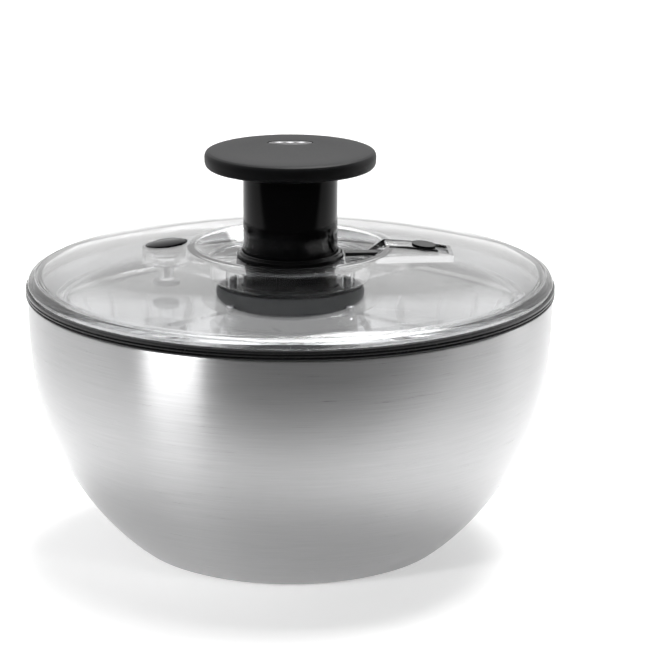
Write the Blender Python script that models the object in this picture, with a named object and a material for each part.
"""Salad spinner, 27 cm across and 14 cm to the top of the lid's edge.

A brushed steel bowl stands on a silicone ring. A slotted basket turns on a
cone in the middle of the bowl. The clear lid carries a press knob whose
hollow column runs down inside a housing; a nut in the column drives a
spiral post, and the post turns a hub and a drive plate, which carries the
basket round. A brake button and a sliding lock sit in the lid.

Frame: +Z up, origin at the centre of the base, front at -Y. The numbers
below are millimetres, and MM turns them into metres.
"""

import math

import bmesh
import bpy
from mathutils import Vector

MM = 0.001

# ---------------------------------------------------------------- sizes
BOWL_R = 134.0            # outer radius at the rim
BOWL_RIM_Z = 132.3        # top of the steel rim
BOWL_T = 1.0              # steel thickness
BOWL_FOOT_R = 77.6        # where the wall's curve starts at the base
BOWL_CURVE_Z = 130.9      # height of the wall's curve
BOWL_POW_Z = 2.576        # how square the curve is in height
BOWL_POW_R = 1.106        # how square the curve is in radius

LID_R = 134.0             # clear edge of the lid
LID_EDGE_Z = 140.0        # top of the lid's edge
DOME_R = 50.0             # the dome starts here, at the well's lip
DOME_Z0 = 141.3
DOME_H = 14.9             # rise of the dome
DOME_SPAN = 84.0
DOME_POW = 1.5
LID_T = 2.0
WELL_LIP_R, WELL_LIP_Z = 49.0, 156.3
WELL_FLOOR_R, WELL_FLOOR_Z = 41.0, 150.0

KNOB_R = 43.6
KNOB_TOP_Z = 205.5
KNOB_BOTTOM_Z = 196.8
COLUMN_R, COLUMN_IN_R = 24.1, 21.0
STROKE = 40.0             # how far the knob is pressed

POST_R, POST_LOBE = 7.0, 1.6
POST_LEAD = 50.0          # one turn of the spiral
POST_Z0, POST_Z1 = 92.0, 141.5
NUT_Z0, NUT_Z1 = 132.5, 137.0
NUT_GAP = 0.5

HUB_R, HUB_IN_R = 37.8, 36.0
PLATE_Z0, PLATE_Z1 = 126.6, 128.6
PLATE_R = 114.8

RIBS = 32                 # slots and ribs round the basket
SLOT_START = 94.5         # degrees from +X to the first slot's centre
SLOT_WIDTH = 2.5          # degrees
BASKET_T = 2.0

BRAKE_X, BRAKE_Y = -63.6, 8.0
BRAKE_TILT = math.radians(7.0)
BRAKE_STROKE = 4.0

LOCK_AZ = math.radians(3.0)
LOCK_PAD_R = 68.4
LOCK_TRAVEL = 5.0

EMBLEM_Y = 21.0

BIG, MID, SMALL, TINY = 36, 28, 16, 8   # sides of round pieces
POST_SIDES = 24


# ---------------------------------------------------------------- scene
for old in list(bpy.data.objects):
    bpy.data.objects.remove(old, do_unlink=True)

BODIES = {}


def body(name, x=0.0, y=0.0, z=0.0, parent=None):
    """An empty on the axis that its pieces move about."""
    empty = bpy.data.objects.new(name + "_body", None)
    empty.empty_display_size = 0.02
    bpy.context.scene.collection.objects.link(empty)
    here = Vector((x, y, z)) * MM
    if parent:
        empty.parent = BODIES[parent][0]
        empty.location = here - BODIES[parent][1]
    else:
        empty.location = here
    BODIES[name] = (empty, here)


body("bowl")
body("basket_pivot", z=14.5, parent="bowl")
body("basket", z=12.8, parent="basket_pivot")
body("lid", z=WELL_FLOOR_Z, parent="bowl")
body("knob", z=KNOB_TOP_Z, parent="lid")
body("spiral", z=POST_Z0, parent="lid")
body("drive", z=PLATE_Z0, parent="lid")
body("brake", x=BRAKE_X, y=BRAKE_Y, z=154.5, parent="lid")
body("lock", x=LOCK_PAD_R * math.cos(LOCK_AZ), y=LOCK_PAD_R * math.sin(LOCK_AZ), z=154.0, parent="lid")


def material(name, colour, rough, metal=0.0, alpha=1.0, coat=0.0):
    mat = bpy.data.materials.new(name)
    mat.use_nodes = True
    shader = mat.node_tree.nodes["Principled BSDF"]
    shader.inputs["Base Color"].default_value = (*colour, 1.0)
    shader.inputs["Roughness"].default_value = rough
    shader.inputs["Metallic"].default_value = metal
    shader.inputs["Alpha"].default_value = alpha
    shader.inputs["Coat Weight"].default_value = coat
    mat.diffuse_color = (*colour, alpha)
    return mat


STEEL = dict(colour=(0.62, 0.62, 0.63), rough=0.28, metal=1.0)
CLEAR = dict(colour=(0.85, 0.87, 0.88), rough=0.06, alpha=0.32)
GLOSS_BLACK = dict(colour=(0.012, 0.012, 0.014), rough=0.08)
SOFT_BLACK = dict(colour=(0.045, 0.046, 0.050), rough=0.55)
RUBBER = dict(colour=(0.020, 0.020, 0.022), rough=0.6)
GREY_HUB = dict(colour=(0.50, 0.52, 0.55), rough=0.3, alpha=0.7)
WHITE = dict(colour=(0.82, 0.82, 0.80), rough=0.4)
SCREW = dict(colour=(0.70, 0.70, 0.72), rough=0.25, metal=1.0)
SPRING = dict(colour=(0.66, 0.66, 0.68), rough=0.22, metal=1.0)


def finish(name, verts, faces, where, look, sharp=35.0):
    """One object, its mesh in its own frame, parented to its body's empty."""
    parent, origin = BODIES[where]
    mesh = bpy.data.meshes.new(name)
    mesh.from_pydata([Vector(v) * MM - origin for v in verts], [], faces)
    shape = bmesh.new()
    shape.from_mesh(mesh)
    bmesh.ops.recalc_face_normals(shape, faces=shape.faces)
    shape.to_mesh(mesh)
    shape.free()
    mesh.shade_smooth()
    mesh.set_sharp_from_angle(angle=math.radians(sharp))
    obj = bpy.data.objects.new(name, mesh)
    bpy.context.scene.collection.objects.link(obj)
    obj.parent = parent
    if look is None:
        obj.hide_render = True
        obj.display_type = "WIRE"
    else:
        mesh.materials.append(material(name + "_look", **look))
    return obj


# ---------------------------------------------------------------- shapes
def circle(r):
    return lambda a: r


def loft(rings, sides, at=(0.0, 0.0)):
    """A skin through rings, each (radius, z) or (radius by angle, z, turn).

    A ring of radius 0 is one point. The list closes on itself unless it
    starts and ends on the axis.
    """
    verts, index = [], []
    for ring in rings:
        radius, z = ring[0], ring[1]
        turn = ring[2] if len(ring) > 2 else 0.0
        if not callable(radius) and radius < 1e-9:
            index.append([len(verts)])
            verts.append((at[0], at[1], z))
            continue
        row = []
        for j in range(sides):
            a = 2 * math.pi * j / sides
            r = radius(a) if callable(radius) else radius
            row.append(len(verts))
            verts.append((at[0] + r * math.cos(a + turn), at[1] + r * math.sin(a + turn), z))
        index.append(row)
    faces = []
    count = len(rings)
    closed = len(index[0]) > 1
    for i in range(count if closed else count - 1):
        p, q = index[i], index[(i + 1) % count]
        for j in range(sides):
            k = (j + 1) % sides
            if len(p) == 1 and len(q) == 1:
                continue
            if len(p) == 1:
                faces.append((p[0], q[j], q[k]))
            elif len(q) == 1:
                faces.append((p[j], q[0], p[k]))
            else:
                faces.append((p[j], q[j], q[k], p[k]))
    return verts, faces


def turned(name, profile, where, look, sides=BIG, at=(0.0, 0.0)):
    return finish(name, *loft(profile, sides, at), where, look)


def prism(outline, z0, z1):
    """A flat shape with upright sides."""
    n = len(outline)
    verts = [(x, y, z0) for x, y in outline] + [(x, y, z1) for x, y in outline]
    faces = [tuple(range(n)), tuple(range(2 * n - 1, n - 1, -1))]
    faces += [(i, (i + 1) % n, n + (i + 1) % n, n + i) for i in range(n)]
    return verts, faces


def joined(*shapes):
    verts, faces = [], []
    for v, f in shapes:
        base = len(verts)
        verts += v
        faces += [tuple(base + i for i in face) for face in f]
    return verts, faces


def along(az, shape):
    """Turns a shape that was drawn along +X to the azimuth az."""
    c, s = math.cos(az), math.sin(az)
    verts, faces = shape
    return [(c * x - s * y, s * x + c * y, z) for x, y, z in verts], faces


def bar(r0, r1, width, z0, z1, az=0.0):
    h = width / 2
    return along(az, prism([(r0, -h), (r1, -h), (r1, h), (r0, h)], z0, z1))


def oval(cx, cy, half_x, half_y, sides=SMALL, az=0.0):
    points = []
    for j in range(sides):
        a = 2 * math.pi * j / sides
        points.append((cx + half_x * math.cos(a), cy + half_y * math.sin(a)))
    return points


def rod(r, z0, z1, x=0.0, y=0.0, sides=SMALL):
    return loft([(0.0, z0), (r, z0), (r, z1), (0.0, z1)], sides, (x, y))


def boolean(obj, operation, shape, tag):
    cutter = finish(obj.name + "_" + tag, *shape, "bowl", None)
    mod = obj.modifiers.new(tag, "BOOLEAN")
    mod.operation = operation
    mod.solver = "EXACT"
    mod.object = cutter


def polar(r, az):
    return r * math.cos(az), r * math.sin(az)


def offset(line, distance):
    """The open polyline moved sideways, to its left."""
    out = []
    for i, (r, z) in enumerate(line):
        a = line[max(i - 1, 0)]
        b = line[min(i + 1, len(line) - 1)]
        dr, dz = b[0] - a[0], b[1] - a[1]
        length = math.hypot(dr, dz)
        out.append((r - distance * dz / length, z + distance * dr / length))
    return out


def tilted(shape, above):
    """Leans everything above a height with the dome, which falls away from the middle."""
    verts, faces = shape
    away = Vector((BRAKE_X, BRAKE_Y)).normalized()
    out = []
    for x, y, z in verts:
        if z > above:
            z -= math.tan(BRAKE_TILT) * ((x - BRAKE_X) * away.x + (y - BRAKE_Y) * away.y)
        out.append((x, y, z))
    return out, faces


def coil(name, mean_r, wire_r, z0, z1, turns, where, at=(0.0, 0.0), per_turn=12, sides=5):
    """A compression spring between two heights."""
    steps = int(turns * per_turn)
    low, high = z0 + wire_r, z1 - wire_r
    verts, faces = [], []
    for i in range(steps + 1):
        a = 2 * math.pi * i / per_turn
        z = low + (high - low) * i / steps
        for k in range(sides):
            b = 2 * math.pi * k / sides
            r = mean_r + wire_r * math.cos(b)
            verts.append((at[0] + r * math.cos(a), at[1] + r * math.sin(a), z + wire_r * math.sin(b)))
    for i in range(steps):
        for k in range(sides):
            m = (k + 1) % sides
            faces.append((i * sides + k, (i + 1) * sides + k, (i + 1) * sides + m, i * sides + m))
    faces.append(tuple(range(sides)))
    faces.append(tuple(range((steps + 1) * sides - 1, steps * sides - 1, -1)))
    return finish(name, verts, faces, where, SPRING)


def screw(name, x, y, head_z, tip_z, where, head_r=2.4, shank_r=1.3, head_h=2.2):
    """A pan-head screw with a hexagon socket, the tip above or below its head."""
    up = 1.0 if tip_z > head_z else -1.0
    face = head_z - up * head_h
    socket = face + up * 1.2
    rings = [
        (0.0, socket), (0.9, socket), (0.9, face), (head_r * 0.8, face),
        (head_r, face + up * 0.5), (head_r, head_z), (shank_r, head_z),
        (shank_r, tip_z - up * 0.8), (0.0, tip_z),
    ]
    return finish(name, *loft(rings, TINY, (x, y)), where, SCREW)


# ---------------------------------------------------------------- bowl
def bowl_wall(steps):
    """The outer wall, from just above the foot to the rim."""
    line = []
    a0 = 0.300
    for i in range(steps + 1):
        a = a0 + (math.pi / 2 - a0) * (i / steps) ** 0.8
        z = BOWL_CURVE_Z * (1 - math.cos(a) ** (2 / BOWL_POW_Z)) if i < steps else BOWL_CURVE_Z
        r = BOWL_FOOT_R + (BOWL_R - BOWL_FOOT_R) * math.sin(a) ** (2 / BOWL_POW_R)
        line.append((r, z))
    return line


wall = [(73.0, 0.3), (77.0, 0.5), (80.8, 2.2)] + bowl_wall(9) + [(BOWL_R, BOWL_RIM_Z)]
inside = offset(wall, BOWL_T)
inside[0] = (72.6, 1.6)
inside[-1] = (BOWL_R - BOWL_T, BOWL_RIM_Z)
turned(
    "bowl",
    [(0.0, 8.0), (3.0, 7.7), (8.6, 2.0), (10.6, 1.5), (70.0, 1.5)]
    + wall
    + inside[::-1]
    + [(70.2, 2.5), (11.2, 2.5), (9.2, 3.0), (3.4, 8.8), (0.0, 9.0)],
    "bowl",
    STEEL,
)
turned("base_ring", [(48.0, 0.0), (69.0, 0.0), (69.0, 1.2), (48.0, 1.2)], "bowl", RUBBER)

# ---------------------------------------------------------------- basket
turned(
    "basket_bush",
    [(0.0, 9.5), (3.7, 9.5), (8.1, 5.0), (12.0, 5.0), (12.0, 6.5), (9.5, 6.5), (9.5, 14.0), (9.0, 14.5), (0.0, 14.5)],
    "basket_pivot",
    WHITE,
    SMALL,
)

side = [
    (68.0, 12.8), (80.0, 15.5), (91.5, 24.5), (103.5, 42.5), (112.0, 65.0), (116.6, 92.0), (118.0, 118.0),
    (118.0, 124.6),
]
under = [(10.2, 6.8), (14.0, 6.8), (14.6, 12.8), (28.0, 12.8)] + side
over = [(10.2, 15.2), (14.0, 15.2), (14.8, 15.0), (28.0, 15.0)] + offset(side, BASKET_T)
over[4] = (67.6, 15.0)
over[-1] = (116.0, 125.4)
under += [(118.7, 125.5), (121.5, 125.5)]
over += [(116.8, 127.2), (121.5, 127.2)]
LAST = len(under) - 2
SLOT_ROWS = {3, 6, 7, 8, 9}      # cells between stations that the slots pass through
NOTCH_ROWS = {LAST - 2, LAST - 1, LAST}        # open to the top, for the drive lugs


def basket_mesh():
    """A shell laid out in stations up the wall and columns round it, with cells left out for slots."""
    columns = []
    half = math.radians(SLOT_WIDTH / 2)
    for k in range(RIBS):
        mid = math.radians(SLOT_START) + 2 * math.pi * k / RIBS
        columns += [mid - half, mid + half]
    n, m = len(columns), len(under)
    verts = []
    for line in (under, over):
        for r, z in line:
            for a in columns:
                verts.append((r * math.cos(a), r * math.sin(a), z))

    def out(i, j):
        return i * n + j % n

    def inn(i, j):
        return m * n + i * n + j % n

    def solid(i, j):
        if i < 0 or i >= m - 1:
            return False
        j %= n
        if j % 2:
            return True
        if i in NOTCH_ROWS and (j // 2) % (RIBS // 4) == 0:
            return False
        return i not in SLOT_ROWS

    faces = []
    for i in range(m - 1):
        for j in range(n):
            if not solid(i, j):
                continue
            faces.append((out(i, j), out(i, j + 1), out(i + 1, j + 1), out(i + 1, j)))
            faces.append((inn(i, j), inn(i + 1, j), inn(i + 1, j + 1), inn(i, j + 1)))
            if not solid(i, j - 1):
                faces.append((out(i, j), out(i + 1, j), inn(i + 1, j), inn(i, j)))
            if not solid(i, j + 1):
                faces.append((out(i, j + 1), inn(i, j + 1), inn(i + 1, j + 1), out(i + 1, j + 1)))
            if not solid(i - 1, j):
                faces.append((out(i, j), inn(i, j), inn(i, j + 1), out(i, j + 1)))
            if not solid(i + 1, j):
                faces.append((out(i + 1, j), out(i + 1, j + 1), inn(i + 1, j + 1), inn(i + 1, j)))
    used = sorted({v for face in faces for v in face})
    renumber = {old: new for new, old in enumerate(used)}
    return [verts[v] for v in used], [tuple(renumber[v] for v in face) for face in faces]


finish("basket", *basket_mesh(), "basket", CLEAR)


# ---------------------------------------------------------------- lid
def dome(r):
    return DOME_Z0 + DOME_H * (1 - ((r - DOME_R) / DOME_SPAN) ** DOME_POW)


dome_line = [(r, dome(r)) for r in (51.0, 68.0, 84.0, 100.0, 115.0, 129.0)]
lid_profile = (
    [(26.4, WELL_FLOOR_Z), (40.2, WELL_FLOOR_Z), (WELL_FLOOR_R + 0.4, 150.5), (47.4, 155.2), (WELL_LIP_R, WELL_LIP_Z)]
    + dome_line
    + [(129.5, 142.1), (130.6, 142.2), (133.0, 141.2), (LID_R, 139.6), (LID_R, 137.8), (131.0, 137.8),
       (131.0, 129.5), (129.0, 129.5), (129.0, 139.4)]
    + [(r, dome(r) - LID_T) for r in (126.5, 115.0, 100.0, 84.0, 68.0, 52.5)]
    + [(50.2, 153.6), (43.4, 148.4), (41.0, 147.6), (41.0, 139.0), (39.0, 139.0), (39.0, 148.0), (26.4, 148.0)]
)
lid = turned("lid_shell", lid_profile, "lid", CLEAR)

pillars = [polar(33.0, math.radians(a)) for a in (90.0, 210.0, 330.0)]
sleeve = tilted(
    loft([(0.0, 144.0), (12.3, 144.0), (12.3, 153.9), (0.0, 153.9)], SMALL, (BRAKE_X, BRAKE_Y)), 150.0
)
lock_block = bar(42.2, 82.6, 21.0, 147.2, 151.7, LOCK_AZ)
# Screw pillars, each with a blind hole from below.
posts = [
    loft([(0.0, 147.0), (1.6, 147.0), (1.6, 139.0), (3.2, 139.0), (3.2, 149.0), (0.0, 149.0)], TINY, (x, y))
    for x, y in pillars
]
boolean(lid, "UNION", joined(sleeve, *posts), "bosses")
boolean(lid, "UNION", lock_block, "lock_block")
brake_hole = loft(
    [(0.0, 140.0), (4.6, 140.0), (4.6, 145.5), (10.8, 145.5), (10.8, 165.0), (0.0, 165.0)], SMALL, (BRAKE_X, BRAKE_Y)
)
lock_slot = bar(40.8, 80.5, 17.6, 150.35, 165.0, LOCK_AZ)
boolean(lid, "DIFFERENCE", brake_hole, "brake_hole")
boolean(lid, "DIFFERENCE", lock_slot, "lock_slot")

turned(
    "lid_gasket",
    [(131.3, 132.7), (134.5, 132.6), (135.0, 133.1), (134.6, 133.8), (133.6, 134.1), (134.8, 134.6), (135.0, 136.8),
     (134.3, 137.5), (131.3, 137.5)],
    "lid",
    RUBBER,
)

collar = turned(
    "knob_collar",
    [(24.6, 146.5), (26.0, 146.5), (26.0, 150.3), (27.3, 150.3), (27.3, 152.2), (26.9, 152.6), (25.9, 152.6),
     (25.9, 153.3), (25.5, 153.7), (24.6, 153.7)],
    "lid",
    GLOSS_BLACK,
    MID,
)
boolean(collar, "DIFFERENCE", bar(20.0, 32.0, 8.6, 150.0, 152.9, LOCK_AZ), "lock_gap")

retainer = turned("retaining_ring", [(24.8, 137.0), (38.5, 137.0), (38.5, 138.6), (24.8, 138.6)], "lid", GLOSS_BLACK, MID)
boolean(retainer, "DIFFERENCE", joined(*[rod(1.7, 130.0, 142.0, x, y, TINY) for x, y in pillars]), "holes")

housing = turned(
    "mechanism_housing",
    [(8.6, 88.0), (30.0, 88.0), (30.0, 134.9), (35.5, 134.9), (35.5, 136.7), (28.0, 136.7), (28.0, 90.0), (8.6, 90.0)],
    "lid",
    SOFT_BLACK,
    MID,
)
boolean(housing, "DIFFERENCE", joined(*[rod(1.7, 130.0, 142.0, x, y, TINY) for x, y in pillars]), "holes")
for number, (x, y) in enumerate(pillars, 1):
    screw(f"housing_screw_{number}", x, y, 134.6, 145.5, "lid")

turned("spring_washer", [(3.0, 141.9), (14.0, 141.9), (14.0, 143.4), (3.0, 143.4)], "lid", SCREW, SMALL)
coil("return_spring", 12.0, 0.8, 143.8, 193.2, 5.0, "lid")
coil("brake_spring", 6.6, 0.5, 145.8, 153.2, 3.5, "lid", at=(BRAKE_X, BRAKE_Y), per_turn=10, sides=4)

# ---------------------------------------------------------------- knob
cap = turned(
    "knob_cap",
    [(0.0, 204.9), (28.0, 205.1), (38.0, KNOB_TOP_Z), (41.4, 204.9), (43.2, 203.3), (KNOB_R, 201.2), (43.1, 198.8),
     (41.4, 197.2), (39.0, KNOB_BOTTOM_Z), (36.1, KNOB_BOTTOM_Z), (36.1, 201.1), (2.2, 201.1), (2.2, 203.6), (0.0, 203.6)],
    "knob",
    SOFT_BLACK,
)
boolean(cap, "DIFFERENCE", prism(oval(0, EMBLEM_Y, 11.8, 5.05), 203.9, 210.0), "recess")
finish("knob_emblem", *prism(oval(0, EMBLEM_Y, 11.4, 4.7), 204.2, 205.0), "knob", dict(colour=(0.55, 0.55, 0.56), rough=0.4))
turned(
    "knob_base",
    [(2.3, 196.8), (34.6, 196.8), (35.6, 197.8), (35.6, 200.8), (2.3, 200.8)],
    "knob",
    SOFT_BLACK,
    MID,
)
tube = turned(
    "plunger_tube",
    [(2.3, 196.5), (23.6, 196.5), (COLUMN_R, 196.0), (COLUMN_R, 144.4), (23.5, 143.8), (23.5, 136.6), (27.2, 136.4),
     (27.2, 133.6), (23.5, 133.2), (23.5, 131.0), (COLUMN_IN_R, 131.0), (COLUMN_IN_R, 193.5), (2.3, 193.5)],
    "knob",
    GLOSS_BLACK,
    MID,
)
boolean(
    tube,
    "DIFFERENCE",
    joined(bar(22.5, 30.0, 8.0, 149.8, 152.6, LOCK_AZ), bar(22.5, 30.0, 8.0, 189.8, 192.6, LOCK_AZ)),
    "lock_pockets",
)
screw("knob_screw", 0.0, 0.0, 193.2, 203.2, "knob", head_r=3.5, shank_r=1.8, head_h=2.5)


def lobes(extra=0.0):
    """The spiral's three-lobed section."""
    return lambda a: POST_R + extra + POST_LOBE * math.cos(3 * a)


def twist(z):
    return 2 * math.pi * (z - POST_Z0) / POST_LEAD


nut_steps = 2
nut_hole = [
    (lobes(NUT_GAP), NUT_Z0 + (NUT_Z1 - NUT_Z0) * i / nut_steps, twist(NUT_Z0 + (NUT_Z1 - NUT_Z0) * i / nut_steps))
    for i in range(nut_steps + 1)
]
# The hole turns with the spiral, and the nut's outside turns with it too, so its faces stay flat.
finish(
    "drive_nut",
    *loft([(circle(20.6), z, turn) for _, z, turn in nut_hole] + nut_hole[::-1], POST_SIDES),
    "knob",
    WHITE,
)

# ---------------------------------------------------------------- spiral
post_steps = 15
post_rings = [(0.0, 95.0), (1.6, 95.0), (1.6, 78.4), (3.0, 78.4), (3.0, 87.6), (8.2, 87.6), (8.2, 90.4), (11.0, 90.4),
              (11.0, 91.9)]
for i in range(post_steps + 1):
    z = POST_Z0 + (POST_Z1 - POST_Z0) * i / post_steps
    post_rings.append((lobes(), z, twist(z)))
post_rings.append((0.0, POST_Z1))
finish("spiral_post", *loft(post_rings, POST_SIDES), "spiral", WHITE)


def pawls(a):
    """A round carrier with three springy pawls, each rising slowly and ending in a step."""
    third = (a / (2 * math.pi / 3)) % 1.0
    return 11.0 + 4.2 * max(0.0, (third - 0.35) / 0.65)


finish("pawl_carrier", *loft([(3.3, 83.2), (pawls, 83.2), (pawls, 87.2), (3.3, 87.2)], POST_SIDES), "spiral", GLOSS_BLACK)
turned("hub_washer", [(1.8, 76.9), (9.0, 76.9), (9.0, 78.1), (1.8, 78.1)], "spiral", SCREW, SMALL)
screw("axle_screw", 0.0, 0.0, 76.6, 92.0, "spiral", head_r=4.0, shank_r=1.3, head_h=2.2)

# ---------------------------------------------------------------- drive
plate_bolts = [polar(42.0, math.radians(a)) for a in (45.0, 135.0, 225.0, 315.0)]
hub = turned(
    "drive_hub",
    [(6.3, 79.0), (35.8, 79.0), (HUB_R, 81.0), (HUB_R, 124.3), (46.0, 124.3), (46.0, 126.3), (HUB_R, 126.3), (HUB_R, 136.0),
     (HUB_IN_R, 136.0), (HUB_IN_R, 81.6), (35.4, 81.0), (6.3, 81.0)],
    "drive",
    GREY_HUB,
    MID,
)
boolean(hub, "DIFFERENCE", joined(*[rod(1.6, 120.0, 130.0, x, y, TINY) for x, y in plate_bolts]), "holes")


def teeth(a):
    """Sixteen saw teeth."""
    third = round(a / (2 * math.pi / 48)) % 3
    return (15.9, 18.0, 17.0)[third]


finish("ratchet_ring", *loft([(teeth, 81.3), (circle(22.0), 81.3), (circle(22.0), 87.3), (teeth, 87.3)], 48), "drive", WHITE)
turned(
    "hub_bush",
    [(3.4, 78.5), (6.0, 78.5), (6.0, 81.3), (8.0, 81.3), (8.0, 82.6), (3.4, 82.6)],
    "drive",
    WHITE,
    SMALL,
)
turned(
    "hub_cap",
    [(0.0, 71.5), (12.5, 71.5), (14.0, 73.0), (14.0, 78.7), (12.2, 78.7), (12.2, 73.3), (0.0, 73.3)],
    "drive",
    GREY_HUB,
    SMALL,
)
plate = turned(
    "drive_plate",
    [(38.3, PLATE_Z0), (113.0, PLATE_Z0), (113.0, 119.0), (PLATE_R, 119.0), (PLATE_R, 127.8), (114.0, PLATE_Z1),
     (38.3, PLATE_Z1)],
    "drive",
    CLEAR,
)
lugs = [bar(113.6, 120.6, 3.9, 122.4, 126.9, math.radians(SLOT_START + 90.0 * k)) for k in range(4)]
boolean(plate, "UNION", joined(*lugs), "lugs")
boolean(plate, "DIFFERENCE", joined(*[rod(1.6, 120.0, 135.0, x, y, TINY) for x, y in plate_bolts]), "holes")
for number, (x, y) in enumerate(plate_bolts, 1):
    screw(f"plate_screw_{number}", x, y, 128.9, 121.5, "drive")


# ---------------------------------------------------------------- brake
finish(
    "brake_button",
    *tilted(
        loft(
            [(0.0, 156.2), (7.5, 156.1), (9.6, 155.5), (10.2, 154.5), (10.2, 150.0), (8.6, 150.0), (8.6, 153.5), (0.0, 153.5)],
            SMALL,
            (BRAKE_X, BRAKE_Y),
        ),
        154.0,
    ),
    "brake",
    GLOSS_BLACK,
)
finish("brake_stem", *rod(4.0, 135.5, 153.2, BRAKE_X, BRAKE_Y, 16), "brake", WHITE)
finish("brake_pad", *rod(7.0, 133.0, 135.2, BRAKE_X, BRAKE_Y, SMALL), "brake", RUBBER)


# ---------------------------------------------------------------- lock
def slider_mesh():
    """The clear slide: a plate whose top falls with the dome, and a narrow arm towards the knob."""
    stations = [
        (28.0, 3.5, 150.7, 152.3), (44.0, 3.5, 150.7, 152.3), (48.6, 3.5, 150.7, 152.3),
        (48.6, 8.4, 150.7, 155.4), (55.0, 8.4, 150.7, 155.2), (66.0, 8.4, 150.7, 154.3), (75.2, 8.4, 150.7, 152.9),
    ]
    verts, faces = [], []
    for r, h, z0, z1 in stations:
        verts += [(r, -h, z0), (r, h, z0), (r, h, z1), (r, -h, z1)]
    for i in range(len(stations) - 1):
        for k in range(4):
            m = (k + 1) % 4
            faces.append((i * 4 + k, i * 4 + m, (i + 1) * 4 + m, (i + 1) * 4 + k))
    faces.append((0, 3, 2, 1))
    last = (len(stations) - 1) * 4
    faces.append((last, last + 1, last + 2, last + 3))
    return along(LOCK_AZ, (verts, faces))


finish("lock_slider", *slider_mesh(), "lock", CLEAR)
pad = prism(oval(LOCK_PAD_R, 0.0, 5.6, 7.3), 154.9, 157.0)
lean = math.tan(math.radians(6.5))
pad = ([(x, y, z - lean * (x - LOCK_PAD_R)) for x, y, z in pad[0]], pad[1])
finish("lock_pad", *along(LOCK_AZ, pad), "lock", GLOSS_BLACK)
